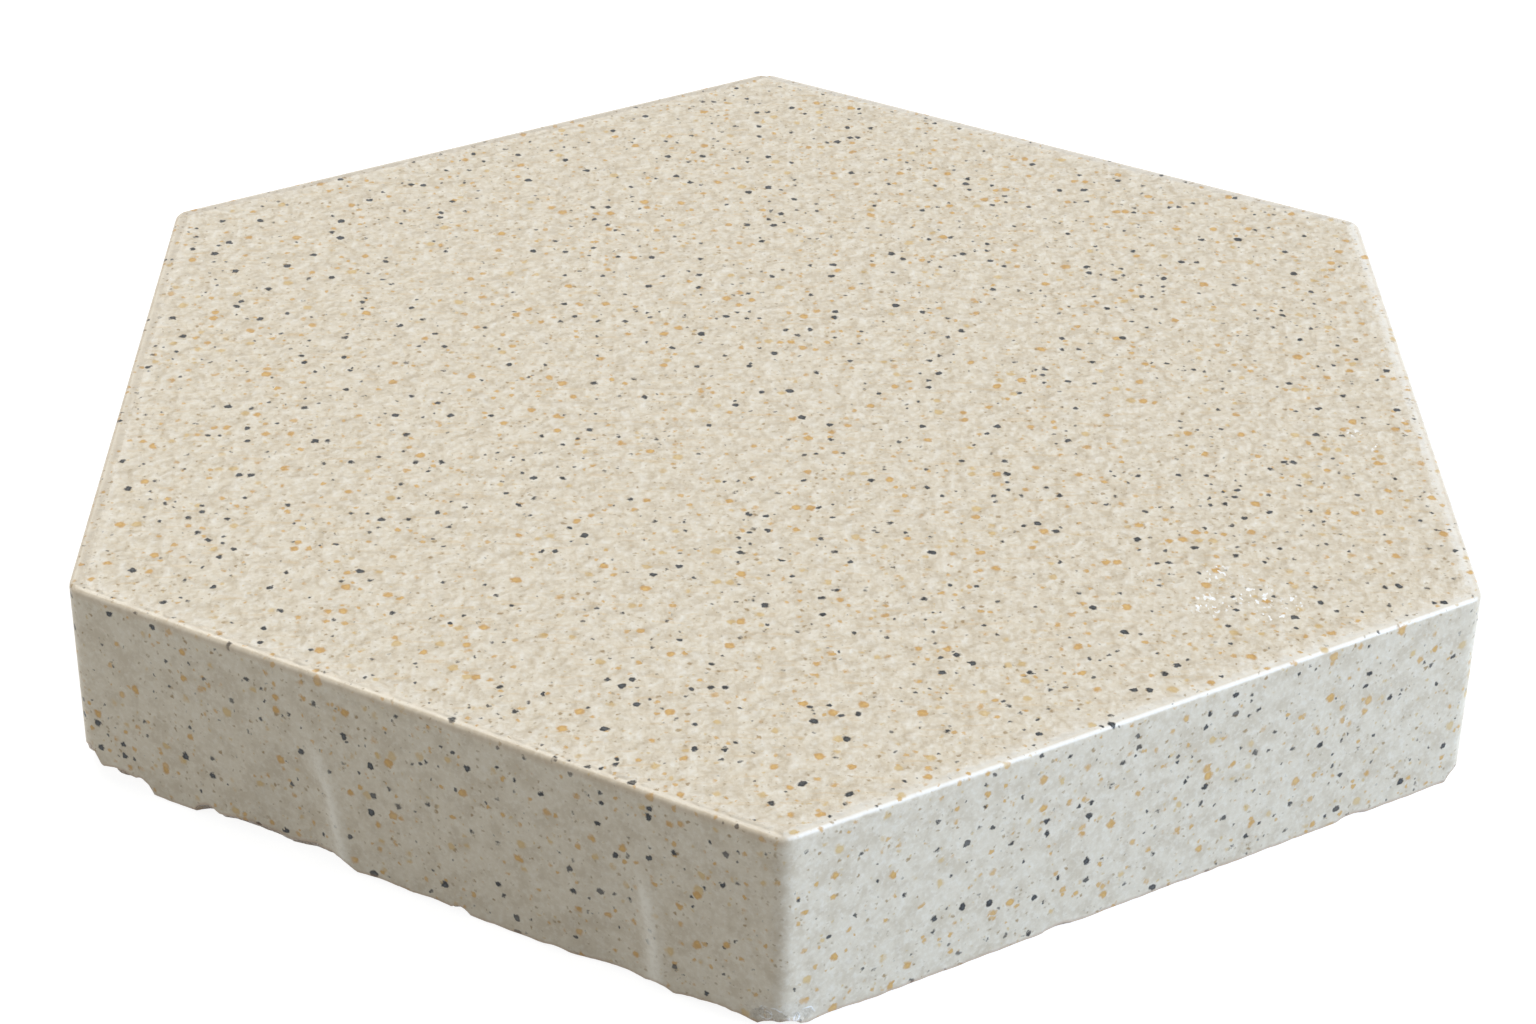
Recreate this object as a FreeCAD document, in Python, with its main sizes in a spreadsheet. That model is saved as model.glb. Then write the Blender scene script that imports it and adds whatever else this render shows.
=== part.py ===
import FreeCAD, Part
import math
import os
import Sketcher

# Hexagonal floor tile, dry-pressed and fired as one piece of stoneware.
# Frame: origin on the middle of the underside, +Z up through the wearing face, two corners on
# the Y axis, two sides square to the X axis. Millimetres.
NODE = "hexagon_tile"

doc = FreeCAD.newDocument("HexagonFloorTile")
sheet = doc.addObject("Spreadsheet::Sheet", "Sizes")

tileSizes = [
    ("acrossFlats", 100.0),     # from side to opposite side
    ("tileThickness", 16.0),
    ("cornerRadius", 1.6),      # upright corners
    ("faceArris", 0.35),        # rounding of the wearing face's rim
    ("footBevel", 0.2),         # bevel where the sides meet the underside
    ("rimWidth", 8.0),          # plain border of the underside
    ("ribWidth", 3.0),          # keying ribs between the grooves of the underside
    ("grooveDepth", 0.9),
    ("grooveCount", 10.0),
    ("mouthBevel", 0.35),       # flare of the grooves' mouths
    ("strikeReach", 0.6),       # how far outside an arris a chip's curve is centred, in chip sizes
    ("scoopRound", 3.0),        # radius of a shallow flake scar, square to the side
]

# Chips along the lower arris of the two front sides. Each is given by its side, how far along
# the side its middle lies, from 0 at the side's left end to 1 at its right, seen from outside,
# its length, its height up the side and its reach under the tile. Between the first two and
# the others a nib of the whole arris still stands.
LEFT_ANGLE, RIGHT_ANGLE = 240, 300      # outward directions of the two sides
edgeChips = [
    ("leftEnd", LEFT_ANGLE, 0.055, 6.0, 1.35, 1.25),
    ("nibStart", LEFT_ANGLE, 0.087, 2.2, 1.25, 1.00),
    ("nibEnd", LEFT_ANGLE, 0.190, 2.6, 1.10, 1.00),
    ("pastNib", LEFT_ANGLE, 0.263, 9.4, 1.08, 1.05),
    ("flakeFoot", LEFT_ANGLE, 0.352, 7.4, 1.15, 1.20),
    ("shallowRun", LEFT_ANGLE, 0.460, 6.4, 0.38, 0.50),
    ("midSlope", LEFT_ANGLE, 0.527, 5.4, 0.42, 0.55),
    ("midNotch", LEFT_ANGLE, 0.563, 1.8, 0.60, 0.75),
    ("shortNick", LEFT_ANGLE, 0.700, 2.8, 0.36, 0.45),
    ("longNick", LEFT_ANGLE, 0.783, 6.8, 0.48, 0.70),
    ("secondFoot", LEFT_ANGLE, 0.835, 3.0, 0.48, 0.65),
    ("frontLeft", LEFT_ANGLE, 0.924, 8.0, 0.56, 0.80),
    ("frontRight", RIGHT_ANGLE, 0.073, 5.2, 0.36, 0.55),
    ("rightNick", RIGHT_ANGLE, 0.386, 3.2, 0.46, 0.40),
    ("farNick", RIGHT_ANGLE, 0.830, 3.4, 0.48, 0.45),
]

# Chips at the corners, each given by its corner, the face that it opens into, its length round
# the corner, its height and its depth. The lower corners each lost a steep piece and a flat
# one, so that they end up blunt.
LEFT_CORNER, FRONT_CORNER, RIGHT_CORNER, BACK_CORNER = 210, 270, 330, 90      # their directions
cornerChips = [
    ("leftSteep", LEFT_CORNER, "under", 5.0, 2.45, 0.95),
    ("leftFlat", LEFT_CORNER, "under", 6.0, 1.20, 2.10),
    ("frontSteep", FRONT_CORNER, "under", 4.8, 1.35, 1.40),
    ("frontFlat", FRONT_CORNER, "under", 6.6, 0.75, 2.20),
    ("rightSteep", RIGHT_CORNER, "under", 3.6, 1.10, 0.55),
    ("backFace", BACK_CORNER, "over", 1.7, 0.45, 0.45),
]

# Shallow flake scars that run up the left-hand side from its foot, each given by how far along
# the side its middle lies, the height of its middle, its half width and half height on the
# side, and its depth.
flakeScars = [
    ("firstScar", LEFT_ANGLE, 0.326, 0.0, 4.1, 9.5, 0.38),
    ("secondScar", LEFT_ANGLE, 0.778, 0.4, 3.7, 8.4, 0.34),
]

cells = list(tileSizes)
for name, angle, along, length, height, depth in edgeChips:
    cells += [(name + "Along", along), (name + "Long", length)]
    cells += [(name + "Tall", height), (name + "Deep", depth)]
for name, angle, face, length, height, depth in cornerChips:
    cells += [(name + "Long", length), (name + "Tall", height), (name + "Deep", depth)]
for name, angle, along, middle, halfWidth, halfHeight, depth in flakeScars:
    cells += [(name + "Along", along), (name + "Middle", middle), (name + "Wide", halfWidth)]
    cells += [(name + "High", halfHeight), (name + "Deep", depth)]
for row, (alias, value) in enumerate(cells, start=1):
    sheet.set("A%d" % row, alias)
    sheet.set("B%d" % row, str(value))
    sheet.setAlias("B%d" % row, alias)
doc.recompute()

# Formulas that several features share.
CORNER_REACH = "Sizes.acrossFlats / sqrt(3)"
SIDE_REACH = "Sizes.acrossFlats / 2"
HALF_SIDE = "Sizes.acrossFlats / 2 / sqrt(3)"
INNER_WIDTH = "(Sizes.acrossFlats - 2 * Sizes.rimWidth)"
GROOVE_WIDTH = "((%s - (Sizes.grooveCount - 1) * Sizes.ribWidth) / Sizes.grooveCount)" % INNER_WIDTH


def worth(formula):
    return float(sheet.evalExpression(formula))


body = doc.addObject("PartDesign::Body", "HexagonTile")
body.Label = NODE


def newSketch(name):
    """A sketch on the plane of the underside."""
    sketch = body.newObject("Sketcher::SketchObject", name)
    plane = [feature for feature in body.Origin.OriginFeatures if feature.Role == "XY_Plane"][0]
    sketch.AttachmentSupport = [(plane, "")]
    sketch.MapMode = "FlatFace"
    return sketch


def bound(sketch, constraint, formula):
    number = sketch.addConstraint(constraint)
    sketch.setExpression("Constraints[%d]" % number, formula)


def addLoop(sketch, points):
    """Closed loop of straight lines. Returns the number of its first line."""
    first = sketch.GeometryCount
    count = len(points)
    for step in range(count):
        line = Part.LineSegment(points[step], points[(step + 1) % count])
        sketch.addGeometry(line, False)
    for step in range(count):
        following = first + (step + 1) % count
        sketch.addConstraint(Sketcher.Constraint("Coincident", first + step, 2, following, 1))
    return first


def addHexagon(sketch, formula):
    """Regular hexagon with a corner on the Y axis, held by the circle through its corners."""
    reach = worth(formula)
    turns = [math.radians(30 + 60 * step) for step in range(6)]
    first = addLoop(sketch, [FreeCAD.Vector(reach * math.cos(t), reach * math.sin(t), 0) for t in turns])
    circle = Part.Circle(FreeCAD.Vector(0, 0, 0), FreeCAD.Vector(0, 0, 1), reach)
    ring = sketch.addGeometry(circle, True)
    sketch.addConstraint(Sketcher.Constraint("Coincident", ring, 3, -1, 1))
    for step in range(6):
        sketch.addConstraint(Sketcher.Constraint("PointOnObject", first + step, 1, ring))
    for step in range(1, 6):
        sketch.addConstraint(Sketcher.Constraint("Equal", first, first + step))
    sketch.addConstraint(Sketcher.Constraint("Vertical", first + 5))
    bound(sketch, Sketcher.Constraint("Radius", ring, reach), formula)


def edgesWhere(feature, wanted):
    """Names of the feature's edges whose ends and middle all satisfy a rule."""
    names = []
    for number, edge in enumerate(feature.Shape.Edges, start=1):
        middle = edge.valueAt((edge.FirstParameter + edge.LastParameter) / 2)
        points = [vertex.Point for vertex in edge.Vertexes] + [middle]
        if all(wanted(point) for point in points):
            names.append("Edge%d" % number)
    return names


def towardsSide(point):
    """Distance from the axis, square to the side that the point is nearest to."""
    turns = [math.radians(60 * step) for step in range(6)]
    return max(point.x * math.cos(turn) + point.y * math.sin(turn) for turn in turns)


# The pressed blank.
blankSketch = newSketch("BlankSketch")
addHexagon(blankSketch, CORNER_REACH)
blank = body.newObject("PartDesign::Pad", "Blank")
blank.Profile = blankSketch
blank.setExpression("Length", "Sizes.tileThickness")
doc.recompute()

# Keying grooves right across the underside, parallel to two of the sides. The grooves and the
# ribs between them fill the width inside the border.
left = -worth(INNER_WIDTH) / 2
right = left + worth(GROOVE_WIDTH)
reach = worth(CORNER_REACH)
grooveSketch = newSketch("GrooveSketch")
outline = [(left, -reach), (right, -reach), (right, reach), (left, reach)]
addLoop(grooveSketch, [FreeCAD.Vector(x, y, 0) for x, y in outline])
for line in (0, 2):
    grooveSketch.addConstraint(Sketcher.Constraint("Horizontal", line))
for line in (1, 3):
    grooveSketch.addConstraint(Sketcher.Constraint("Vertical", line))
bound(grooveSketch, Sketcher.Constraint("DistanceX", 0, 1, -1, 1, -left), INNER_WIDTH + " / 2")
bound(grooveSketch, Sketcher.Constraint("DistanceX", 0, 1, 0, 2, right - left), GROOVE_WIDTH)
bound(grooveSketch, Sketcher.Constraint("DistanceY", 0, 1, -1, 1, reach), CORNER_REACH)
bound(grooveSketch, Sketcher.Constraint("DistanceY", 1, 1, 1, 2, 2 * reach), "2 * " + CORNER_REACH)
firstGroove = body.newObject("PartDesign::Pocket", "FirstGroove")
firstGroove.Profile = grooveSketch
firstGroove.Reversed = True
firstGroove.setExpression("Length", "Sizes.grooveDepth")
doc.recompute()

grooves = body.newObject("PartDesign::LinearPattern", "Grooves")
grooves.Originals = [firstGroove]
grooves.Direction = (grooveSketch, ["H_Axis"])
grooves.setExpression("Length", "%s - %s" % (INNER_WIDTH, GROOVE_WIDTH))
grooves.setExpression("Occurrences", "Sizes.grooveCount")
body.Tip = grooves
doc.recompute()

# The plain border closes the ends of the grooves.
rimSketch = newSketch("RimSketch")
addHexagon(rimSketch, CORNER_REACH)
addHexagon(rimSketch, INNER_WIDTH + " / sqrt(3)")
rim = body.newObject("PartDesign::Pad", "Rim")
rim.Profile = rimSketch
rim.Refine = True
rim.setExpression("Length", "Sizes.grooveDepth")
doc.recompute()

# The grooves' mouths, the upright corners and the two rims.
slack = 0.01
borderStart = worth(INNER_WIDTH) / 2 + slack
mouths = body.newObject("PartDesign::Chamfer", "GrooveMouths")
mouths.Base = (rim, edgesWhere(rim, lambda p: abs(p.z) < slack and towardsSide(p) < borderStart))
mouths.setExpression("Size", "Sizes.mouthBevel")
doc.recompute()

uprights = body.newObject("PartDesign::Fillet", "UprightCorners")
uprights.Base = (mouths, edgesWhere(mouths, lambda p: math.hypot(p.x, p.y) > reach - slack))
uprights.setExpression("Radius", "Sizes.cornerRadius")
doc.recompute()

faceRim = body.newObject("PartDesign::Fillet", "FaceArris")
faceHeight = worth("Sizes.tileThickness") - slack
faceRim.Base = (uprights, edgesWhere(uprights, lambda p: p.z > faceHeight))
faceRim.setExpression("Radius", "Sizes.faceArris")
doc.recompute()

foot = body.newObject("PartDesign::Chamfer", "FootBevel")
foot.Base = (faceRim, edgesWhere(faceRim, lambda p: abs(p.z) < slack and towardsSide(p) > borderStart))
foot.setExpression("Size", "Sizes.footBevel")
doc.recompute()


def hollow(name, angle, radii, outward, along, height):
    """Takes an ellipsoid out of the tile. All but the angle are formulas. The radii lie along
    the side, square to it and upright; the middle is given in the same directions."""
    scar = body.newObject("PartDesign::SubtractiveEllipsoid", name[0].upper() + name[1:])
    turn = FreeCAD.Rotation(FreeCAD.Vector(0, 0, 1), angle - 90)
    scar.Placement = FreeCAD.Placement(FreeCAD.Vector(), turn)
    for radius, formula in zip(("Radius2", "Radius3", "Radius1"), radii):
        scar.setExpression(radius, formula)
    direction = "(%s) * %s(%d deg) %s (%s) * %s(%d deg)"
    scar.setExpression("Placement.Base.x", direction % (outward, "cos", angle, "-", along, "sin", angle))
    scar.setExpression("Placement.Base.y", direction % (outward, "sin", angle, "+", along, "cos", angle))
    scar.setExpression("Placement.Base.z", height)
    doc.recompute()
    return scar


def chip(name, angle, arris, along, face):
    """A conchoidal chip off an arris of the face over or under. The middle of its curve lies
    outside the arris by the strike reach times its own height and depth, and its radii follow,
    so that it ends on the two faces at that height and depth."""
    swell = "sqrt(1 + 2 * Sizes.strikeReach + 2 * Sizes.strikeReach ^ 2)"
    length = "Sizes.%sLong / 2 * %s / sqrt(1 + 2 * Sizes.strikeReach)" % (name, swell)
    depth = "Sizes.%sDeep * %s" % (name, swell)
    height = "Sizes.%sTall * %s" % (name, swell)
    outward = "%s + Sizes.strikeReach * Sizes.%sDeep" % (arris, name)
    middle = "Sizes.strikeReach * Sizes.%sTall" % name
    middle = "Sizes.tileThickness + " + middle if face == "over" else "-" + middle
    return hollow(name, angle, (length, depth, height), outward, along, middle)


def alongSide(name):
    """Distance along its side, from the side's middle."""
    return "(2 * Sizes.%sAlong - 1) * %s" % (name, HALF_SIDE)


scars = []
for name, angle, *_ in flakeScars:
    away = "(Sizes.scoopRound - Sizes.%sDeep)" % name
    swell = "sqrt(1 - (%s / Sizes.scoopRound) ^ 2)" % away
    radii = ("Sizes.%sWide / %s" % (name, swell), "Sizes.scoopRound", "Sizes.%sHigh / %s" % (name, swell))
    outward = "%s + %s" % (SIDE_REACH, away)
    scars.append(hollow(name, angle, radii, outward, alongSide(name), "Sizes.%sMiddle" % name))

for name, angle, *_ in edgeChips:
    scars.append(chip(name, angle, SIDE_REACH, alongSide(name), "under"))

# An upright corner's outermost point lies inside the sharp corner.
cornerTip = "%s - Sizes.cornerRadius * (2 / sqrt(3) - 1)" % CORNER_REACH
for name, angle, face, *_ in cornerChips:
    scars.append(chip(name, angle, cornerTip, "0", face))

# Nothing may have failed, and every cut has to reach the tile: a pocket takes volume off, and a
# chip or a scar gives its arris new corners.
def cornersOf(shape):
    return {tuple(round(value, 3) for value in vertex.Point) for vertex in shape.Vertexes}


doc.recompute()
for item in doc.Objects:
    if "Invalid" in item.State or "Error" in item.State:
        raise RuntimeError("%s failed: %s" % (item.Name, item.State))
for cut in (firstGroove, grooves, mouths, uprights, faceRim, foot):
    if cut.Shape.Volume >= cut.BaseFeature.Shape.Volume:
        raise RuntimeError("%s took nothing off" % cut.Name)
for scar in scars:
    if cornersOf(scar.Shape) == cornersOf(scar.BaseFeature.Shape):
        raise RuntimeError("%s misses the tile" % scar.Name)
if body.Shape.isNull() or not body.Shape.isValid() or len(body.Shape.Solids) != 1:
    raise RuntimeError("the tile isn't one valid solid")

os.makedirs("parts", exist_ok=True)
body.Shape.exportStep(os.path.join("parts", body.Label + ".step"))
print("%s: %.0f mm3, %d faces" % (NODE, body.Shape.Volume, len(body.Shape.Faces)))
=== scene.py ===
import math

import bpy
import numpy as np
from mathutils import Matrix, Quaternion, Vector, noise
from mathutils.geometry import delaunay_2d_cdt


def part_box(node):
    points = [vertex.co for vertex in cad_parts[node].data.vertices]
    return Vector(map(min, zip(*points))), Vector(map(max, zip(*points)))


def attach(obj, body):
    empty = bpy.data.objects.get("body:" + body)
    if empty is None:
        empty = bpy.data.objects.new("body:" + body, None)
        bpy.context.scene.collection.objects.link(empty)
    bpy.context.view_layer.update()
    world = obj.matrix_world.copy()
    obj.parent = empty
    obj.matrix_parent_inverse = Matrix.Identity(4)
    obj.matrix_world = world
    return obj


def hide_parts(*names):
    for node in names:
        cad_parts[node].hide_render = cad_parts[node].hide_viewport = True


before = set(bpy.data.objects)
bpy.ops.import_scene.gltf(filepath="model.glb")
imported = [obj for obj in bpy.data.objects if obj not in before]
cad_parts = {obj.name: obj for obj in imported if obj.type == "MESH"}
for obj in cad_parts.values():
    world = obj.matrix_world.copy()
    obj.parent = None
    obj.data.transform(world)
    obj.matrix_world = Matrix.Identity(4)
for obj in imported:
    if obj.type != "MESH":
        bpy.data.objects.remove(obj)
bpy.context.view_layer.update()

# Hexagonal stoneware floor tile, lying on its keyed back. Sizes here are in millimetres and
# turn into metres where a mesh, a lamp or the camera is made. One corner points at -Y, to the
# front, and the two front sides face 240 and 300 degrees.
mm = 0.001
nodeLow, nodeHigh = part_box("hexagon_tile")

tile = {
    "flats": (nodeHigh[0] - nodeLow[0]) / mm,       # from side to opposite side
    "thickness": (nodeHigh[2] - nodeLow[2]) / mm,
    "cornerRadius": 1.6,
    "faceArris": 0.35,          # rounding of the wearing face's rim
    "lipReach": 0.45,           # how far down a side the painted warm shade under the rim fades
    "footBevel": 0.2,
    "rimWidth": 8.0,            # plain border of the back
    "ribWidth": 3.0,
    "grooveDepth": 0.9,
    "grooveCount": 10,
    "mouthBevel": 0.35,
    "grooveCove": 0.25,         # rounding at the bottom of a groove
    "sideSteps": 128,           # mesh steps along a side of the wearing face
    "arrisSteps": 5,
    "wallSteps": 15,            # mesh rings down a side, closer together near the foot
    "wallSpacing": 1.5,         # how strongly they close up
    "breakSteps": 10,           # mesh rings across a chip
    "fanReach": 5.0,            # how far from a corner the mesh under the foot fans in
    "creaseAngle": 38,          # sharper edges than this stay crisp
    "grooveDraft": 0.04,        # how much narrower a groove is at its bottom
    "coveShare": 0.29,          # where the middle of the cove's curve lies
}

# The uneven skin. Each kind of lump has its height, its size and the start of its noise. The
# heights of the last three are shares of the depth of the bevel or the break there.
lumpKinds = {
    "pebbles": (0.020, 1.5, 1),
    "faceWaves": (0.025, 7.0, 2),
    "sideWaves": (0.012, 5.0, 3),
    "bevel": (0.35, 0.9, 4),
    "breaks": (0.15, 0.75, 55),
    "crumbs": (0.04, 0.3, 19),
}
lumpStart = (7.31, 3.17, 5.83)

# The wear, and the painted highlights and shade at the edges: how strong they are and how far they reach
# from the rim.
wearAndPaintedLight = {
    "faceSunk": 0.02,           # how far the wearing face lies below its rim
    "faceRun": 0.7,             # how far from the rim it gets there
    "rimHighlightShare": 0.8,
    "rimHighlightReach": 1.7,
    "rimHighlightFall": 3,               # how fast the painted rim highlight fades down the arris
    "rubbedFacing": 300,        # the side whose upper arris gets a painted white highlight
    "rubbedStart": 0.90,        # how squarely the arris faces there before it shows
    "rubbedGrow": 0.09,
    "rubbedPace": 1.25,         # how much sooner than the arris itself the painted highlight ends
    "rubbedFall": 1.2,
    "brokenGrow": 0.15,         # how deep a chip is where it looks fully broken
    "scarStart": 1.0,           # how far under the arris the scars reach their depth
    "footDark": 0.9,
    "breakDark": 1.2,          # the higher, the less darkening at the upper edge of a chip
}

# The damage to the foot. A chip has its side (or corner) direction, how far along the side it
# lies, from 0 at the left end to 1 at the right, its length, height and reach under the tile.
damage = {
    "strikeReach": 0.6,         # how far outside the arris a chip's curve is centred
    "leftSide": 240,
    "rightSide": 300,
    "edgeChips": [
        ("leftSide", 0.055, 6.0, 1.35, 1.25),
        ("leftSide", 0.087, 2.2, 1.25, 1.00),
        ("leftSide", 0.190, 2.6, 1.10, 1.00),
        ("leftSide", 0.263, 9.4, 1.08, 1.05),
        ("leftSide", 0.352, 7.4, 1.15, 1.20),
        ("leftSide", 0.460, 6.4, 0.38, 0.50),
        ("leftSide", 0.527, 5.4, 0.42, 0.55),
        ("leftSide", 0.563, 1.8, 0.60, 0.75),
        ("leftSide", 0.700, 2.8, 0.36, 0.45),
        ("leftSide", 0.783, 6.8, 0.48, 0.70),
        ("leftSide", 0.835, 3.0, 0.48, 0.65),
        ("leftSide", 0.924, 8.0, 0.56, 0.80),
        ("rightSide", 0.073, 5.2, 0.36, 0.55),
        ("rightSide", 0.386, 3.2, 0.46, 0.40),
        ("rightSide", 0.830, 3.4, 0.48, 0.45),
    ],
    "cornerChips": [
        (210, 5.0, 2.45, 0.95),
        (210, 6.0, 1.20, 2.10),
        (270, 4.8, 0.95, 1.15),
        (270, 6.6, 0.55, 1.65),
        (330, 3.6, 1.10, 0.55),
    ],
    "faceNick": (90, 1.7, 0.45, 0.45),      # in the wearing face's rim, at the back corner
    # flake scars: how far along, height of the middle, half width, half height, depth
    "scoopRound": 3.0,
    "scars": [
        ("leftSide", 0.326, 0.0, 4.1, 9.5, 0.38),
        ("leftSide", 0.778, 0.4, 3.7, 8.4, 0.34),
    ],
    # the fresh break at the front corner: its middle and radii, and the small scallops in it, each
    # with its side, distance from the side's left end, height and radius
    "breakMiddle": (0.0, -56.9, 1.35),
    "breakRadii": (2.7, 3.0, 1.25),
    "scallops": [
        ("leftSide", 56.6, 1.45, 0.50),
        ("leftSide", 56.4, 0.75, 0.95),
        ("leftSide", 56.9, 0.60, 1.40),
        ("rightSide", 1.1, 1.10, 0.40),
        ("rightSide", 1.9, 0.70, 0.85),
    ],
    # where painted glints, white spots standing in for highlights, lie on the wearing face: place, half
    # width and half length
    "glints": [
        (30.5, -30.1, 1.6, 1.7),
        (33.7, -29.1, 1.9, 1.7),
        (34.6, -31.5, 1.3, 0.9),
        (36.4, -29.9, 0.9, 1.1),
        (31.4, -26.0, 1.1, 1.6),
        (33.7, -26.2, 0.5, 0.5),
        (44.2, -6.3, 0.6, 0.6),
        (45.5, -8.3, 0.6, 0.6),
    ],
    # ridges that the flakes left, paler in body and with a painted highlight on them: places (distance from
    # the side's left end, height)
    "ridges": [
        ("leftSide", [(20.5, 10.3), (21.3, 8.1), (21.9, 6.5), (22.1, 4.9), (22.4, 2.8), (22.9, 0.8)]),
        ("leftSide", [(46.8, 9.4), (47.5, 7.7), (47.7, 6.4), (47.9, 5.0), (48.1, 2.9), (48.3, 0.6)]),
    ],
    "ridgeWidth": 0.55,
    "ridgeSpread": 0.3,         # how much wider a ridge is at the foot
    "spreadHeight": 6.0,        # where it starts to widen
    "ridgeFade": 1.6,           # how far from its top it fades
    "ridgeRise": 0.09,
    "glintGrow": 1.3,           # how far past their half sizes the glints thin out
}

slack = 1e-9        # keeps a rounding error from moving a point to the sector before
flats = tile["flats"] / 2
sideLength = tile["flats"] / math.sqrt(3)


# How high one kind of lump is at many places, from Blender's own noise.
def lumps(kind, places):
    rise, size, start = lumpKinds[kind]
    shift = Vector([start * part for part in lumpStart])
    return rise * np.array([noise.noise(Vector(place) / size + shift) for place in places])


# Points of the rounded outline for shares of the way round, starting at the corner at 30
# degrees, with the direction that faces outwards at each.
def outlineAt(turn, inset=0.0):
    radius = tile["cornerRadius"]
    straight = sideLength / 2 - radius * math.tan(math.pi / 6)
    arc = radius * math.pi / 6
    sector = np.floor(turn * 6 + slack)
    along = (turn * 6 - sector - 0.5) * 2 * (straight + arc)
    bend = np.sign(along) * np.clip(np.abs(along) - straight, 0, None) / radius
    outward = flats - radius + radius * np.cos(bend)
    sideways = np.clip(along, -straight, straight) + radius * np.sin(bend)
    facing = np.radians(60 + 60 * sector)
    normal = facing + bend
    x = outward * np.cos(facing) - sideways * np.sin(facing) - inset * np.cos(normal)
    y = outward * np.sin(facing) + sideways * np.cos(facing) - inset * np.sin(normal)
    return np.stack([x, y], 1), np.stack([np.cos(normal), np.sin(normal)], 1)


# An ellipsoid hollow: its middle, its three directions and its radii along them.
def hollowAt(direction, outward, along, height, radii):
    angle = math.radians(direction)
    out = np.array([math.cos(angle), math.sin(angle), 0.0])
    side = np.array([-math.sin(angle), math.cos(angle), 0.0])
    up = np.array([0.0, 0.0, 1.0])
    return out * outward + side * along + up * height, np.stack([side, out, up]), np.array(radii)


def chipHollow(direction, arris, along, length, tall, deep, over=False):
    reach = damage["strikeReach"]
    swell = math.sqrt(1 + 2 * reach + 2 * reach ** 2)
    radii = (length / 2 * swell / math.sqrt(1 + 2 * reach), deep * swell, tall * swell)
    height = tile["thickness"] + reach * tall if over else -reach * tall
    return hollowAt(direction, arris + reach * deep, along, height, radii)


# How far it is from each start, in its direction, to the far skin of a hollow. Nought where
# the start lies outside it.
def wayOut(starts, directions, hollow):
    middle, axes, radii = hollow
    start = (starts - middle) @ axes.T / radii
    step = directions @ axes.T / radii
    a = np.sum(step * step, 1)
    b = np.sum(start * step, 1)
    c = np.sum(start * start, 1) - 1
    root = np.sqrt(np.maximum(b * b - a * c, 0))
    return np.where(c < 0, (root - b) / a, 0.0)


cornerTip = sideLength - tile["cornerRadius"] * (2 / math.sqrt(3) - 1)
chipHollows = []
for side, share, length, tall, deep in damage["edgeChips"]:
    along = (2 * share - 1) * sideLength / 2
    chipHollows.append(chipHollow(damage[side], flats, along, length, tall, deep))
for direction, length, tall, deep in damage["cornerChips"]:
    chipHollows.append(chipHollow(direction, cornerTip, 0.0, length, tall, deep))
nickDirection, nickLength, nickTall, nickDeep = damage["faceNick"]
faceNick = chipHollow(nickDirection, cornerTip, 0.0, nickLength, nickTall, nickDeep, over=True)
scarHollows = []
for side, share, middle, halfWidth, halfHeight, deep in damage["scars"]:
    away = damage["scoopRound"] - deep
    swell = math.sqrt(1 - (away / damage["scoopRound"]) ** 2)
    radii = (halfWidth / swell, damage["scoopRound"], halfHeight / swell)
    along = (2 * share - 1) * sideLength / 2
    scarHollows.append(hollowAt(damage[side], flats + away, along, middle, radii))


# The mesh. It is one closed skin: the wearing face is a lattice of hexagon rings, the sides
# are rings with twice as many points, and the flat of the back is filled between the foot and
# the grooves' mouths.
points = []
faces = []
# what each point of the skin shows, from 0 to 1
marks = {
    "worn": [],         # the wearing face
    "broken": [],       # a chip
    "pale": [],         # a flake's ridge: paler body and a painted highlight
    "rim": [],          # painted highlight along the rim of the wearing face
    "lip": [],          # painted warm shade where the rim turns into a side
    "foot": [],         # the darker brown band along the lower arris
    "glints": [],       # painted glints: white spots standing in for highlights
    "rubbed": [],       # painted highlight: the bright white line along one arris
}


def addPoints(places, **shares):
    first = len(points)
    points.extend(np.asarray(places).tolist())
    count = len(places)
    for name, kept in marks.items():
        kept.extend(np.broadcast_to(shares.get(name, 0.0), (count,)).tolist())
    return first


def joinRings(upper, lower, count):
    for step in range(count):
        following = (step + 1) % count
        faces.append((upper + step, lower + step, lower + following, upper + following))


def makeWearingFace():
    steps = tile["sideSteps"]
    places = [np.zeros((1, 2))]
    for ring in range(1, steps + 1):
        turn = np.arange(6 * ring) / (6 * ring)
        places.append(outlineAt(turn, tile["faceArris"])[0] * ring / steps)
    flat = np.concatenate(places)
    rimWay = flats - np.max([flat @ [math.cos(math.radians(a)), math.sin(math.radians(a))]
                             for a in range(0, 360, 60)], axis=0)
    spots = np.column_stack([flat, np.zeros(len(flat))])
    relief = lumps("pebbles", spots) + lumps("faceWaves", spots) - wearAndPaintedLight["faceSunk"]
    away = np.clip((rimWay - tile["faceArris"]) / wearAndPaintedLight["faceRun"], 0, 1)
    # a painted highlight along the rim, fading inwards
    rim = wearAndPaintedLight["rimHighlightShare"] * np.clip(1 - (rimWay - tile["faceArris"]) / wearAndPaintedLight["rimHighlightReach"], 0, 1)
    glints = np.zeros(len(flat))
    for across, deep, halfWidth, halfLength in damage["glints"]:
        way = (flat - [across, deep]) / [halfWidth, halfLength]
        glints = np.maximum(glints, np.clip(damage["glintGrow"] - np.sum(way ** 2, 1), 0, 1))
    addPoints(np.column_stack([flat, tile["thickness"] + relief * away]), worn=away, rim=rim, glints=glints)

    def latticePoint(ring, sector, step):
        if ring == 0:
            return 0
        return 1 + 3 * ring * (ring - 1) + (sector * ring + step) % (6 * ring)

    for ring in range(1, steps + 1):
        for sector in range(6):
            for step in range(ring):
                outer = latticePoint(ring, sector, step)
                inner = latticePoint(ring - 1, sector, step)
                beside = latticePoint(ring, sector, step + 1)
                faces.append((outer, beside, inner))
                if step < ring - 1:
                    faces.append((beside, latticePoint(ring - 1, sector, step + 1), inner))
    return 1 + 3 * steps * (steps - 1)


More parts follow.
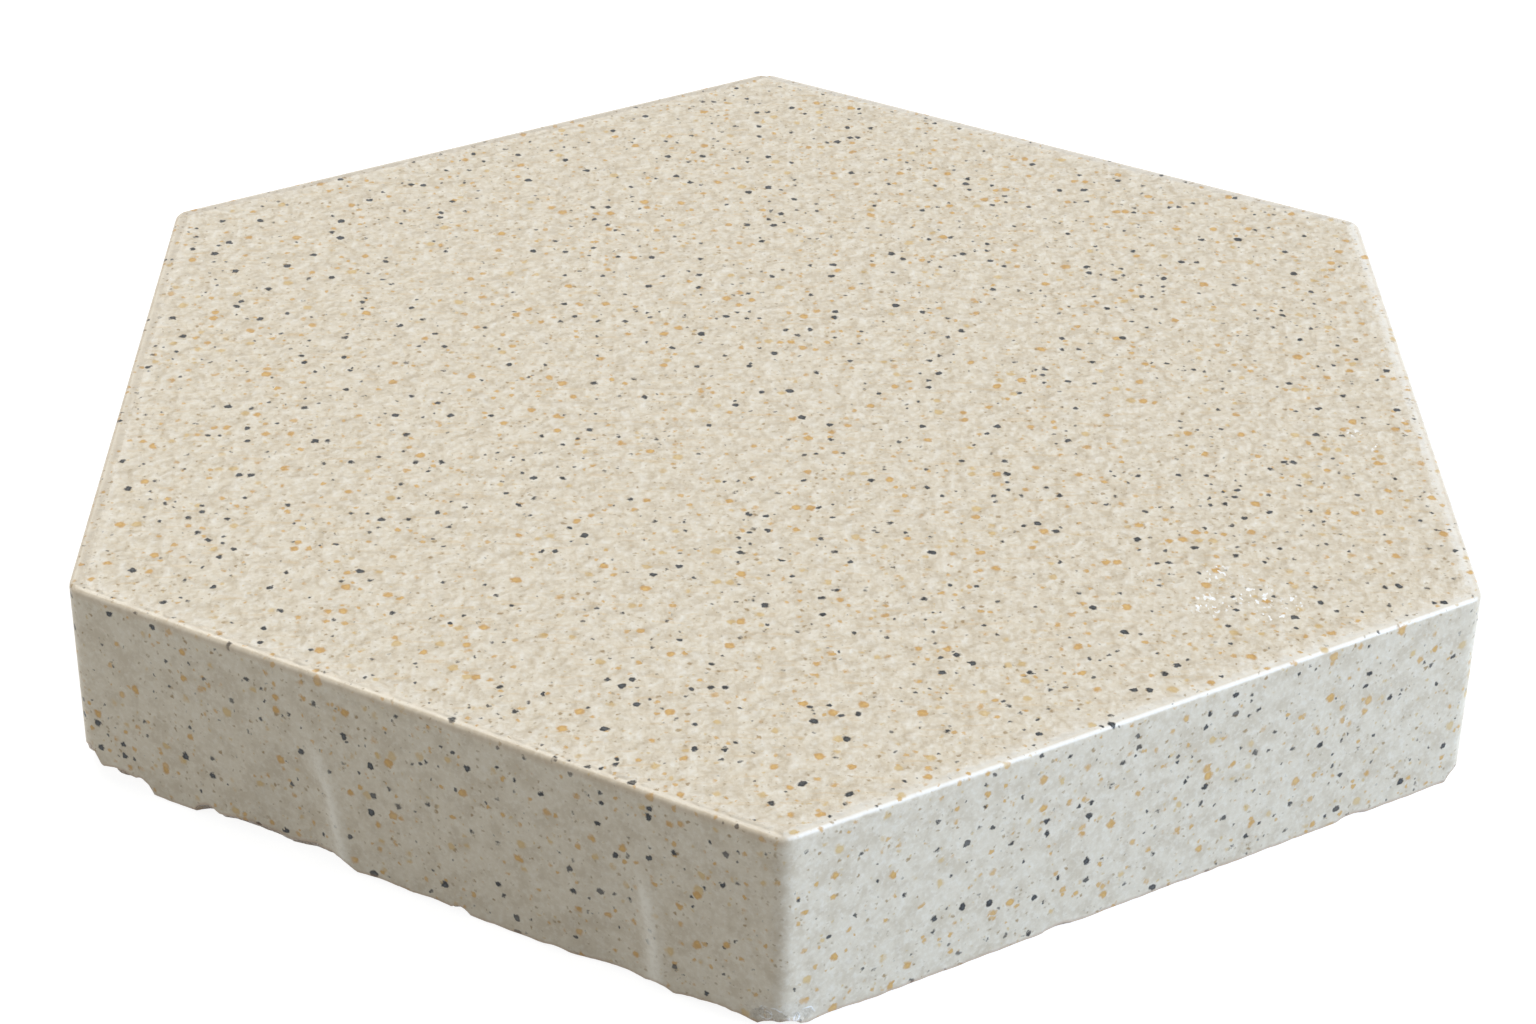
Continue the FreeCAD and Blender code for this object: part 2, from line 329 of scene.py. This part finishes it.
def makeArris(outerRing):
    count = 6 * tile["sideSteps"]
    turn = np.arange(count) / count
    # the side that gets the painted white highlight line along its upper arris
    facing = math.radians(wearAndPaintedLight["rubbedFacing"])
    rubbedSide = outlineAt(turn)[1] @ [math.cos(facing), math.sin(facing)]
    rubbedSide = np.clip((rubbedSide - wearAndPaintedLight["rubbedStart"]) / wearAndPaintedLight["rubbedGrow"], 0, 1)
    above = outerRing
    for step in range(1, tile["arrisSteps"] + 1):
        angle = math.pi / 2 * step / tile["arrisSteps"]
        outline = outlineAt(turn, tile["faceArris"] * (1 - math.sin(angle)))[0]
        height = tile["thickness"] - tile["faceArris"] * (1 - math.cos(angle))
        ring = np.column_stack([outline, np.full(count, height)])
        # painted warm shade grows down the arris on every side but the one with the painted white line
        share = step / tile["arrisSteps"]
        # painted white highlight line along the arris, strongest partway down
        rubbed = math.sin(math.pi * min(1.0, wearAndPaintedLight["rubbedPace"] * share)) ** wearAndPaintedLight["rubbedFall"]
        # painted cream highlight of the rim, fading down the arris
        below = addPoints(ring, rim=wearAndPaintedLight["rimHighlightShare"] * (1 - share) ** wearAndPaintedLight["rimHighlightFall"],
                          lip=share * (1 - rubbedSide), rubbed=rubbedSide * rubbed)
        joinRings(above, below, count)
        above = below
    return above


# How far the side lies inside its flat at each place, and how pale it is there.
def sideRelief(outline, outward, turn, height):
    places = np.column_stack([outline, height])
    inwards = np.column_stack([-outward, np.zeros(len(outline))])
    sunk = np.zeros(len(outline))
    for hollow in scarHollows:
        sunk = np.maximum(sunk, wayOut(places, inwards, hollow))
    paleness = np.zeros(len(outline))
    for side, crest in damage["ridges"]:
        sector = (damage[side] - 60) // 60
        along = (turn * 6 - sector) * sideLength
        heights = [high for across, high in crest][::-1]
        middles = [across for across, high in crest][::-1]
        spread = damage["ridgeSpread"] * np.clip(1 - height / damage["spreadHeight"], 0, 1)
        width = damage["ridgeWidth"] * (1 + spread)
        across = (along - np.interp(height, heights, middles)) / width
        fade = np.clip((heights[-1] - height) / damage["ridgeFade"], 0, 1)
        near = np.exp(-across ** 2) * fade * (np.abs(along - sideLength / 2) < sideLength / 2)
        sunk -= damage["ridgeRise"] * near
        paleness = np.maximum(paleness, near)
    sunk -= lumps("sideWaves", places)
    return sunk, paleness


def makeSides(aboveRing):
    count = 12 * tile["sideSteps"]
    turn = np.arange(count) / count
    outline, outward = outlineAt(turn)
    level = np.column_stack([outline, np.zeros(count)])
    top = tile["thickness"] - tile["faceArris"]

    # the broken foot: for each column, how far the break reaches in each direction. Near a
    # corner the columns fan in gently, so that they don't cross under the tile.
    steps = tile["breakSteps"]
    part = turn * 6 - np.floor(turn * 6 + slack)
    fan = np.clip(1 - np.minimum(part, 1 - part) * sideLength / tile["fanReach"], 0, 1)
    fan = np.radians(60 + 60 * np.floor(turn * 6 + slack) + 30 * fan * np.sign(part - 0.5))
    inwards = -np.stack([np.cos(fan), np.sin(fan)], 1)
    footSunk = sideRelief(outline, outward, turn, np.zeros(count))[0]
    foot = level - np.column_stack([outward, np.zeros(count)]) * footSunk[:, None]
    reach = np.zeros((steps + 1, count))
    bitten = np.zeros((steps + 1, count))
    ways = []
    for step in range(steps + 1):
        angle = math.pi / 2 * step / steps
        way = np.column_stack([inwards * math.sin(angle), np.full(count, math.cos(angle))])
        ways.append(way)
        bevel = tile["footBevel"] / (math.sin(angle) + math.cos(angle))
        bevel = bevel * (1 + lumps("bevel", level))
        bite = np.zeros(count)
        for hollow in chipHollows:
            bite = np.maximum(bite, wayOut(foot, way, hollow))
        spots = foot + way * bite[:, None]
        rough = 1 + lumps("breaks", spots) + lumps("crumbs", spots)
        reach[step] = np.maximum(bevel, bite * rough)
        bitten[step] = np.clip((bite - bevel) / wearAndPaintedLight["brokenGrow"], 0, 1)

    # down the side, to the upper edge of the break
    above = None
    for ring in range(1, tile["wallSteps"] + 1):
        share = (ring - 1) / (tile["wallSteps"] - 1)
        share = 1 - (1 - share) ** tile["wallSpacing"]
        height = top - tile["lipReach"]
        height = height + (reach[0] - height) * share
        sunk, paleness = sideRelief(outline, outward, turn, height)
        sunk *= np.clip((top - height) / wearAndPaintedLight["scarStart"], 0, 1)
        ringPlaces = np.column_stack([outline - outward * sunk[:, None], height])
        darkened = wearAndPaintedLight["footDark"] if ring == tile["wallSteps"] else 0.0
        below = addPoints(ringPlaces, pale=paleness, foot=darkened)
        if above is None:
            # each step of the ring above meets two of this one
            half = count // 2
            for step in range(half):
                following = (step + 1) % half
                first, second = below + 2 * step, below + 2 * step + 1
                third = below + (2 * step + 2) % count
                faces.append((aboveRing + step, first, second))
                faces.append((aboveRing + step, second, aboveRing + following))
                faces.append((second, third, aboveRing + following))
        else:
            joinRings(above, below, count)
        above = below

    # round the break, down to the back
    for step in range(1, steps + 1):
        places = foot + ways[step] * reach[step][:, None]
        sunk, paleness = sideRelief(outline, outward, turn, places[:, 2])
        fade = 1 - step / steps
        places[:, :2] -= outward * ((sunk - footSunk) * fade)[:, None]
        darkened = 1 - bitten[step] * min(fade, wearAndPaintedLight["breakDark"] - fade)
        below = addPoints(places, broken=bitten[step], pale=paleness * fade, foot=darkened)
        joinRings(above, below, count)
        above = below
    return above


# The plan of a groove: its long sides, with its slanting ends along the border, grown a little.
def groovePlan(left, right, grow):
    limit = flats - tile["rimWidth"] + grow
    left, right = left - grow, right + grow
    leftEnd = (2 * limit - abs(left)) / math.sqrt(3)
    rightEnd = (2 * limit - abs(right)) / math.sqrt(3)
    return np.array([(left, -leftEnd), (right, -rightEnd), (right, rightEnd), (left, leftEnd)])


def makeBack(footRing):
    count = 12 * tile["sideSteps"]
    inside = tile["flats"] - 2 * tile["rimWidth"]
    width = (inside - (tile["grooveCount"] - 1) * tile["ribWidth"]) / tile["grooveCount"]
    pitch = width + tile["ribWidth"]
    cove = tile["grooveCove"]
    floorHeight = tile["grooveDepth"]
    draft, bend = tile["grooveDraft"], tile["coveShare"] * cove
    levels = [(tile["mouthBevel"], 0.0), (0.0, tile["mouthBevel"]), (-draft, floorHeight - cove),
              (-draft - bend, floorHeight - bend), (-draft - cove, floorHeight)]
    loops = [list(range(footRing, footRing + count))]
    for number in range(tile["grooveCount"]):
        left = -inside / 2 + number * pitch
        above = None
        for grow, height in levels:
            plan = groovePlan(left, left + width, grow)
            below = addPoints(np.column_stack([plan, np.full(4, height)]))
            if above is None:
                loops.append([below + step for step in range(4)])
            else:
                for step in range(4):
                    following = (step + 1) % 4
                    faces.append((above + step, above + following, below + following, below + step))
            above = below
        faces.append((above + 3, above + 2, above + 1, above))

    # the flat of the border and the ribs, filled between the foot and the mouths
    used = [index for loop in loops for index in loop]
    flat = [Vector(points[index][:2]) for index in used]
    edges = []
    start = 0
    for loop in loops:
        edges += [(start + step, start + (step + 1) % len(loop)) for step in range(len(loop))]
        start += len(loop)
    made = delaunay_2d_cdt(flat, edges, [], 1, 1e-7)
    places, triangles, origins = made[0], made[2], made[3]
    mouths = [np.array([points[index][:2] for index in loop]) for loop in loops[1:]]
    for triangle in triangles:
        middle = sum((places[corner] for corner in triangle), Vector((0, 0))) / 3
        inMouth = False
        for mouth in mouths:
            ahead = np.roll(mouth, -1, 0) - mouth
            way = np.array(middle) - mouth
            inMouth = inMouth or bool(np.all(ahead[:, 0] * way[:, 1] - ahead[:, 1] * way[:, 0] > 0))
        if not inMouth:
            corners = [used[origins[corner][0]] for corner in triangle]
            faces.append(tuple(reversed(corners)))


print("pressing the tile")
rim = makeWearingFace()
arrisFoot = makeArris(rim)
footRing = makeSides(arrisFoot)
makeBack(footRing)

places = np.array(points)
# the nick in the face's rim pushes what it meets to its own skin
middle, axes, radii = faceNick
local = (places - middle) @ axes.T / radii
away = np.linalg.norm(local, axis=1)
hit = away < 1
places[hit] = middle + (local[hit] / away[hit][:, None] * radii) @ axes
for number in np.flatnonzero(hit):
    marks["broken"][number] = 1.0

mesh = bpy.data.meshes.new("stonewareTile")
mesh.from_pydata((places * mm).tolist(), [], faces)
for name, values in marks.items():
    layer = mesh.attributes.new(name, "FLOAT", "POINT")
    layer.data.foreach_set("value", np.asarray(values, dtype=np.float32))
mesh.validate()
mesh.shade_smooth()
mesh.set_sharp_from_angle(angle=math.radians(tile["creaseAngle"]))
stonewareTile = bpy.data.objects.new("stonewareTile", mesh)
bpy.context.collection.objects.link(stonewareTile)
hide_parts("hexagon_tile")
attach(stonewareTile, "root")
print("tile mesh:", len(mesh.vertices), "points,", len(mesh.polygons), "faces")

# Stoneware: a pale body with grains of several kinds. Every texture is read in millimetres in
# the body of the tile, so that a grain cut by an arris shows on both faces.
stoneware = {
    "body": (0.725, 0.645, 0.510),
    # painted highlight on the raised bumps and pebbles of the skin
    "bumpHighlight": (0.85, 0.80, 0.70),
    # the warm tone of the mottling, and painted shade in the skin's hollows
    "bodyWarm": (0.620, 0.535, 0.405),
    "breakBody": (0.76, 0.71, 0.61),
    # the ridges: paler crushed body, partly a painted highlight where they catch light
    "ridgeBody": (0.90, 0.84, 0.72),
    # painted highlight: the cream band along the rim
    "rimHighlight": (0.87, 0.81, 0.71),
    # painted highlight: the white line along the right front arris
    "rubbedBody": (0.98, 0.95, 0.89),
    # painted shade: the warm brown line under the rim
    "lipShadeColour": (0.62, 0.47, 0.31),
    # the darker brown of the lower arris
    "footBody": (0.46, 0.29, 0.19),
    "streak": (0.64, 0.47, 0.26),
    # painted highlight: the white of the glints and of the scallops' edges
    "glint": (0.98, 0.98, 0.96),
    # Scatterings of grains. Each has its mean spacing, its start, and its kinds. A kind has the
    # share of places that it fills, its smallest and largest radius, how rare the large ones
    # are, how soft its edge is, its colour at the middle and at the edge, and how much it covers.
    "scatterings": [
        (0.42, 3.0, [
            ("dustBrown", 0.22, 0.05, 0.13, 1.5, 0.055, (0.26, 0.18, 0.08), (0.34, 0.24, 0.12), 0.60),
            ("dustOchre", 0.13, 0.05, 0.14, 1.2, 0.060, (0.60, 0.42, 0.17), (0.60, 0.44, 0.20), 0.70),
            ("dustGrey", 0.03, 0.04, 0.10, 1.5, 0.050, (0.14, 0.14, 0.13), (0.18, 0.18, 0.17), 0.65),
        ]),
        (0.66, 11.0, [
            ("slateChip", 0.06, 0.07, 0.17, 1.3, 0.060, (0.060, 0.064, 0.064), (0.035, 0.038, 0.038), 0.95),
            ("ochreChip", 0.14, 0.08, 0.23, 1.4, 0.075, (0.64, 0.38, 0.110), (0.58, 0.34, 0.100), 0.88),
            ("umberChip", 0.24, 0.06, 0.18, 1.6, 0.065, (0.30, 0.19, 0.07), (0.34, 0.22, 0.09), 0.80),
        ]),
        (1.00, 23.0, [
            ("slate", 0.38, 0.10, 0.32, 1.8, 0.070, (0.070, 0.076, 0.080), (0.025, 0.027, 0.029), 1.0),
            ("ochre", 0.27, 0.12, 0.40, 1.8, 0.11, (0.67, 0.42, 0.135), (0.57, 0.33, 0.105), 0.95),
            ("sand", 0.14, 0.14, 0.40, 1.8, 0.13, (0.66, 0.47, 0.20), (0.61, 0.42, 0.17), 0.80),
        ]),
    ],
}

# How the skin shows these colours and grains. A cloud has the size of its lumps in millimetres,
# its detail, its roughness and its start. A range has the two readings between which something
# grows from 0 to 1, or between two further values. A cover with two values has one for the sides
# and one for the wearing face.
skinLook = {
    "cloudStart": (1.0, 0.7, 1.3),
    "mottle": (1.5, 3.0, 0.6, 5.0),
    "mottleRange": (0.34, 0.60),
    "skin": (0.38, 4.0, 0.62, 29.0),
    # painted highlight on raised skin and painted shade in its hollows
    "litBumpRange": (0.46, 0.68),
    "litBumpCover": (0.38, 0.36),
    "hollowRange": (0.48, 0.28),
    "hollowCover": (0.40, 0.48),
    "pebble": (1.1, 1.0, 0.5, 13.0),
    "litPebbleRange": (0.48, 0.72),
    "litPebbleCover": 0.40,
    "streak": (1.0, 3.0, 0.6, 61.0),
    "streakStretch": (0.40, 1.9, 1.0),
    "streakRange": (0.56, 0.72),
    "streakCover": 0.45,
    "brokenCover": 0.6,
    "rimHighlightCover": 0.58,
    "rubbedCover": 0.75,
    "bend": (0.42, 2.0, 0.6, 2.0),          # how the outlines of the grains are bent
    "bendReach": 0.50,
    "grainStart": (1.0, 0.37, 0.73),
    "grainStrength": (0.0, 0.5, 0.78, 1.0),
    "grainDepth": (0.25, 0.80),             # from a grain's middle colour to its edge colour
    "ridgeRange": (0.34, 0.58, 0.62, 1.0),
    "lipShadeCover": 0.40,
    "glints": (1.0, 1.0, 0.5, 83.0),
    "glintStretch": (2.8, 1.8, 3.0),
    "glintRange": (0.595, 0.625),
    "freshRange": (1.05, 0.75),
    "freshCover": 0.35,
    "frayReach": 0.35,
    "scallopLine": (0.09, 0.02),
    "scallopGaps": (0.40, 0.52),
    "scallopGlint": 0.9,
    "footCover": 0.60,
    "pebbleRise": 2.2,                      # the rises are in parts of bumpHeight
    "skinRise": 0.6,
    "reliefCover": (0.10, 1.0),
    "crush": (0.5, 3.0, 0.6, 41.0),
    "crushRise": 2.0,
    "dimpleRise": 1.2,
    "bumpHeight": 0.17 * mm,
    "roughness": (0.3, 0.7, 0.30, 0.42),
    "edgeShine": (0.40, 0.56, 0.0, 0.24),   # how much smoother the rim and the arris are
    "freshShine": 0.10,
    "index": 1.5,
    "shine": 0.28,
}


class Nodes:
    def __init__(self, material):
        material.use_nodes = True
        self.tree = material.node_tree
        self.tree.nodes.clear()

    def add(self, kind, inputs=None, **settings):
        node = self.tree.nodes.new(kind)
        for name, value in settings.items():
            setattr(node, name, value)
        for name, value in (inputs or {}).items():
            self.feed(node.inputs[name], value)
        return node

    def feed(self, socket, value):
        if isinstance(value, bpy.types.NodeSocket):
            self.tree.links.new(value, socket)
        elif isinstance(value, tuple) and len(value) == 3 and socket.type == "RGBA":
            socket.default_value = (*value, 1.0)
        else:
            socket.default_value = value

    def sum(self, operation, first, second=None, third=None):
        node = self.add("ShaderNodeMath", operation=operation)
        for socket, value in zip(node.inputs, (first, second, third)):
            if value is not None:
                self.feed(socket, value)
        return node.outputs[0]

    def mix(self, share, first, second):
        node = self.add("ShaderNodeMix", data_type="RGBA")
        self.feed(node.inputs[0], share)
        self.feed(node.inputs[6], first)
        self.feed(node.inputs[7], second)
        return node.outputs[2]

    def ramp(self, value, low, high, lowOut=0.0, highOut=1.0, smooth=True):
        node = self.add("ShaderNodeMapRange", interpolation_type="SMOOTHSTEP" if smooth else "LINEAR")
        for name, given in (("Value", value), ("From Min", low), ("From Max", high),
                            ("To Min", lowOut), ("To Max", highOut)):
            self.feed(node.inputs[name], given)
        return node.outputs["Result"]


def makeStoneware():
    material = bpy.data.materials.new("stoneware")
    made = Nodes(material)
    look = skinLook
    place = made.add("ShaderNodeTexCoord").outputs["Object"]
    inMm = made.add("ShaderNodeVectorMath", {0: place}, operation="SCALE")
    inMm.inputs["Scale"].default_value = 1 / mm
    inMm = inMm.outputs[0]
    share = {}
    for name in marks:
        share[name] = made.add("ShaderNodeAttribute", attribute_name=name).outputs["Fac"]

    def vector(operation, first, second):
        return made.add("ShaderNodeVectorMath", {0: first, 1: second}, operation=operation).outputs[0]

    def cloud(name, source=None):
        size, detail, roughness, start = look[name]
        spot = source if source is not None else inMm
        spot = vector("ADD", spot, tuple(start * part for part in look["cloudStart"]))
        return made.add("ShaderNodeTexNoise", {"Vector": spot, "Scale": 1 / size, "Detail": detail,
                                               "Roughness": roughness})

    def times(first, second):
        return made.sum("MULTIPLY", first, second)

    # how much something covers, from the sides to the wearing face
    def cover(name):
        return made.ramp(share["worn"], 0.0, 1.0, *look[name], smooth=False)

    # the body: soft mottling everywhere; painted highlight where the skin is raised and painted shade in
    # its hollows; on the wearing face, painted highlight on the pebbles and warm streaks
    mottle = cloud("mottle").outputs["Fac"]
    colour = made.mix(made.ramp(mottle, *look["mottleRange"]), stoneware["bodyWarm"], stoneware["body"])
    skin = cloud("skin").outputs["Fac"]
    litBumps = times(made.ramp(skin, *look["litBumpRange"]), cover("litBumpCover"))
    colour = made.mix(litBumps, colour, stoneware["bumpHighlight"])
    shadedHollows = times(made.ramp(skin, *look["hollowRange"]), cover("hollowCover"))
    colour = made.mix(shadedHollows, colour, stoneware["bodyWarm"])
    # painted highlight on the tops of the pebbles
    pebble = cloud("pebble").outputs["Fac"]
    pebbles = times(made.ramp(pebble, *look["litPebbleRange"]), times(share["worn"], look["litPebbleCover"]))
    colour = made.mix(pebbles, colour, stoneware["bumpHighlight"])
    drawn = cloud("streak", vector("MULTIPLY", inMm, look["streakStretch"])).outputs["Fac"]
    streaks = times(made.ramp(drawn, *look["streakRange"]), share["worn"])
    colour = made.mix(times(streaks, look["streakCover"]), colour, stoneware["streak"])
    colour = made.mix(times(share["broken"], look["brokenCover"]), colour, stoneware["breakBody"])
    # painted highlight: a cream band along the rim and down the arris
    colour = made.mix(times(share["rim"], look["rimHighlightCover"]), colour, stoneware["rimHighlight"])
    # painted highlight: a bright white line along one arris
    colour = made.mix(times(share["rubbed"], look["rubbedCover"]), colour, stoneware["rubbedBody"])

    # grains, with their outlines bent a little
    bend = vector("SUBTRACT", cloud("bend").outputs["Color"], (0.5, 0.5, 0.5))
    bend = made.add("ShaderNodeVectorMath", {0: bend}, operation="SCALE")
    bend.inputs["Scale"].default_value = look["bendReach"]
    bent = vector("ADD", inMm, bend.outputs[0])
    unevenness = made.sum("MULTIPLY_ADD", skin, 2.0, -1.0)
    for spacing, start, kinds in stoneware["scatterings"]:
        spot = vector("ADD", bent, tuple(start * part for part in look["grainStart"]))
        cells = made.add("ShaderNodeTexVoronoi", {"Vector": spot, "Scale": 1 / spacing},
                         voronoi_dimensions="3D", feature="F1")
        chance = made.add("ShaderNodeSeparateColor", {0: cells.outputs["Color"]}).outputs
        strength = made.ramp(chance[2], *look["grainStrength"], smooth=False)
        distance = times(cells.outputs["Distance"], spacing)
        passed = 0.0
        for name, filled, small, large, rare, soft, middle, edge, covered in kinds:
            size = made.sum("POWER", chance[1], rare)
            radius = made.sum("MULTIPLY_ADD", size, large - small, small)
            inner = made.sum("SUBTRACT", radius, soft)
            outer = made.sum("ADD", radius, soft)
            grain = made.ramp(distance, inner, outer, covered, 0.0)
            grain = times(grain, made.sum("LESS_THAN", chance[0], passed + filled))
            grain = times(grain, made.sum("GREATER_THAN", chance[0], passed))
            depth = made.sum("ADD", made.sum("DIVIDE", distance, radius), unevenness)
            grainColour = made.mix(made.ramp(depth, *look["grainDepth"]), middle, edge)
            colour = made.mix(times(grain, strength), colour, grainColour)
            passed += filled
    # the ridges: paler crushed body and partly a painted highlight
    ridgeGrain = made.ramp(skin, *look["ridgeRange"])
    colour = made.mix(times(share["pale"], ridgeGrain), colour, stoneware["ridgeBody"])
    # painted shade: a warm brown line under the rim
    colour = made.mix(times(share["lip"], look["lipShadeCover"]), colour, stoneware["lipShadeColour"])

    # glints: small white spots painted on the wearing face as highlights
    spots = cloud("glints", vector("MULTIPLY", inMm, look["glintStretch"])).outputs["Fac"]
    glints = times(made.ramp(spots, *look["glintRange"]), share["glints"])

    # the fresh break at the front corner: scallops with thin white edges painted as highlights
    way = vector("DIVIDE", vector("SUBTRACT", inMm, damage["breakMiddle"]), damage["breakRadii"])
    way = made.add("ShaderNodeVectorMath", {0: way}, operation="LENGTH").outputs["Value"]
    fresh = made.ramp(way, *look["freshRange"])
    frayed = times(made.sum("SUBTRACT", skin, 0.5), look["frayReach"])
    dimples = 0.0
    scallopEdge = 0.0
    for side, along, height, radius in damage["scallops"]:
        middle = hollowAt(damage[side], flats, along - sideLength / 2, height, (1, 1, 1))[0]
        away = made.add("ShaderNodeVectorMath", {0: inMm, 1: tuple(middle.tolist())}, operation="DISTANCE")
        away = made.sum("ADD", away.outputs["Value"], frayed)
        dimples = made.sum("ADD", made.ramp(away, 0.0, radius, -radius, 0.0, smooth=False), dimples)
        edge = made.ramp(made.sum("ABSOLUTE", made.sum("SUBTRACT", away, radius)), *look["scallopLine"])
        scallopEdge = made.sum("MAXIMUM", scallopEdge, edge)
    colour = made.mix(times(fresh, look["freshCover"]), colour, stoneware["breakBody"])
    scallopEdge = times(times(scallopEdge, fresh), made.ramp(mottle, *look["scallopGaps"]))
    # the scallops' edges join the painted glints
    glints = made.sum("MAXIMUM", glints, times(scallopEdge, look["scallopGlint"]))
    colour = made.mix(glints, colour, stoneware["glint"])
    colour = made.mix(times(share["foot"], look["footCover"]), colour, stoneware["footBody"])

    # the wearing face is pebbled, the sides are smooth, the chips are rough
    relief = made.sum("MULTIPLY_ADD", pebble, look["pebbleRise"], times(skin, look["skinRise"]))
    relief = times(relief, made.ramp(share["worn"], 0.0, 1.0, *look["reliefCover"]))
    crush = times(cloud("crush").outputs["Fac"], share["broken"])
    relief = made.sum("MULTIPLY_ADD", crush, look["crushRise"], relief)
    relief = made.sum("MULTIPLY_ADD", times(dimples, fresh), look["dimpleRise"], relief)
    bump = made.add("ShaderNodeBump", {"Height": relief, "Strength": 1.0, "Distance": look["bumpHeight"]})
    rough = made.ramp(skin, *look["roughness"])
    edgeShine = made.ramp(made.sum("ADD", share["rim"], share["lip"]), *look["edgeShine"])
    rough = made.sum("SUBTRACT", rough, edgeShine)
    rough = made.sum("SUBTRACT", rough, times(fresh, look["freshShine"]))

    shader = made.add("ShaderNodeBsdfPrincipled", {"Base Color": colour, "Roughness": rough,
                                                   "Normal": bump.outputs[0]})
    shader.inputs["IOR"].default_value = look["index"]
    shader.inputs["Specular IOR Level"].default_value = look["shine"]
    made.add("ShaderNodeOutputMaterial", {"Surface": shader.outputs[0]})
    return material


mesh.materials.append(makeStoneware())
print("stoneware made")

# The studio: a plain pale floor, soft lamps and a white surround for the camera.
studio = {
    "floorSize": 6.0,
    "floorGap": 0.02 * mm,      # how far it lies under the tile
    "floorTone": 0.34,          # for the light that the floor sends back
    "floorWhite": 0.86,         # what the camera sees of it, before its light and shadow
    "surround": 0.36,
    # lamps: direction from the tile, height above the floor in degrees, distance, width,
    # height, lean, level, colour
    "lamps": {
        "overheadBox": (128, 60, 0.70, 0.32, 0.32, 0, 4.22, (1.11, 1.0, 0.82)),
        "rightBox": (-12, 15, 1.60, 0.72, 0.72, 0, 10.9, (0.735, 1.0, 1.42)),
        "highBox": (-18, 40, 0.80, 0.26, 0.50, -31, 5.2, (1.00, 1.0, 0.98)),
        "leftFill": (195, 25, 0.45, 0.30, 0.30, 0, 1.5, (0.93, 1.0, 1.04)),
    },
}


# One shader for what the camera or a mirror sees, and another for the light that it gives.
def seenOrLit(made, seen, lit):
    rays = made.add("ShaderNodeLightPath").outputs
    looked = made.sum("MAXIMUM", rays["Is Camera Ray"], rays["Is Glossy Ray"])
    looked = made.sum("MAXIMUM", looked, rays["Is Transmission Ray"])
    return made.add("ShaderNodeMixShader", {0: looked, 1: lit, 2: seen}).outputs[0]


def makeFloor():
    size = studio["floorSize"] / 2
    floorMesh = bpy.data.meshes.new("studioFloor")
    corners = [(-size, -size, 0), (size, -size, 0), (size, size, 0), (-size, size, 0)]
    floorMesh.from_pydata(corners, [], [(0, 1, 2, 3)])
    floor = bpy.data.objects.new("studioFloor", floorMesh)
    floor.location.z = -studio["floorGap"]
    bpy.context.collection.objects.link(floor)
    material = bpy.data.materials.new("paleFloor")
    made = Nodes(material)
    tone = studio["floorTone"]
    lit = made.add("ShaderNodeBsdfDiffuse", {"Color": (tone, tone, tone)}).outputs[0]
    glow = made.add("ShaderNodeEmission", {"Color": (1.0, 1.0, 1.0), "Strength": studio["floorWhite"]})
    seen = made.add("ShaderNodeAddShader", {0: lit, 1: glow.outputs[0]}).outputs[0]
    made.add("ShaderNodeOutputMaterial", {"Surface": seenOrLit(made, seen, lit)})
    floorMesh.materials.append(material)


def makeSurround():
    world = bpy.data.worlds.new("softSurround")
    bpy.context.scene.world = world
    made = Nodes(world)
    white = (1.0, 1.0, 1.0)
    lit = made.add("ShaderNodeBackground", {"Color": white, "Strength": studio["surround"]})
    seen = made.add("ShaderNodeBackground", {"Color": white, "Strength": 1.0})
    made.add("ShaderNodeOutputWorld", {"Surface": seenOrLit(made, seen.outputs[0], lit.outputs[0])})


def makeLamps():
    for name, (direction, height, distance, wide, tall, lean, level, colour) in studio["lamps"].items():
        lamp = bpy.data.lights.new(name, "AREA")
        lamp.shape = "RECTANGLE"
        lamp.size = wide
        lamp.size_y = tall
        lamp.energy = level * math.pi * wide * tall
        lamp.color = colour
        holder = bpy.data.objects.new(name, lamp)
        angle, rise = math.radians(direction), math.radians(height)
        away = Vector((math.cos(angle) * math.cos(rise), math.sin(angle) * math.cos(rise), math.sin(rise)))
        holder.location = away * distance
        turn = away.to_track_quat("Z", "Y") @ Quaternion((0, 0, 1), math.radians(lean))
        holder.rotation_euler = turn.to_euler()
        bpy.context.collection.objects.link(holder)


makeFloor()
makeSurround()
makeLamps()

# The camera: where it looks from, what it looks at on the plane of the wearing face, and its
# lean, as the perspective of the six corners gives them. Distances are in corner reaches.
view = {
    "turn": -1.12,
    "height": 32.01,
    "distance": 4.404,
    "target": (-0.010, -0.316),
    "lean": -1.00,
    "lens": 81.47,
    "film": 36.0,
    "nearest": 10 * mm,
}


def makeCamera():
    turn, rise, lean = (math.radians(view[name]) for name in ("turn", "height", "lean"))
    back = Vector((math.sin(turn) * math.cos(rise), -math.cos(turn) * math.cos(rise), math.sin(rise)))
    right = (-back).cross(Vector((0, 0, 1))).normalized()
    down = (-back).cross(right)
    imageRight = right * math.cos(lean) + down * math.sin(lean)
    imageDown = down * math.cos(lean) - right * math.sin(lean)
    across, deep = view["target"]
    target = Vector((across * sideLength, deep * sideLength, tile["thickness"]))
    place = target + back * view["distance"] * sideLength
    lens = bpy.data.cameras.new("studioCamera")
    lens.lens = view["lens"]
    lens.sensor_width = view["film"]
    lens.clip_start = view["nearest"]
    camera = bpy.data.objects.new("studioCamera", lens)
    turned = Matrix((imageRight, -imageDown, back)).transposed().to_4x4()
    camera.matrix_world = Matrix.Translation(place * mm) @ turned
    bpy.context.collection.objects.link(camera)
    bpy.context.scene.camera = camera


makeCamera()
bpy.context.scene.view_settings.view_transform = "Standard"
print("studio ready")
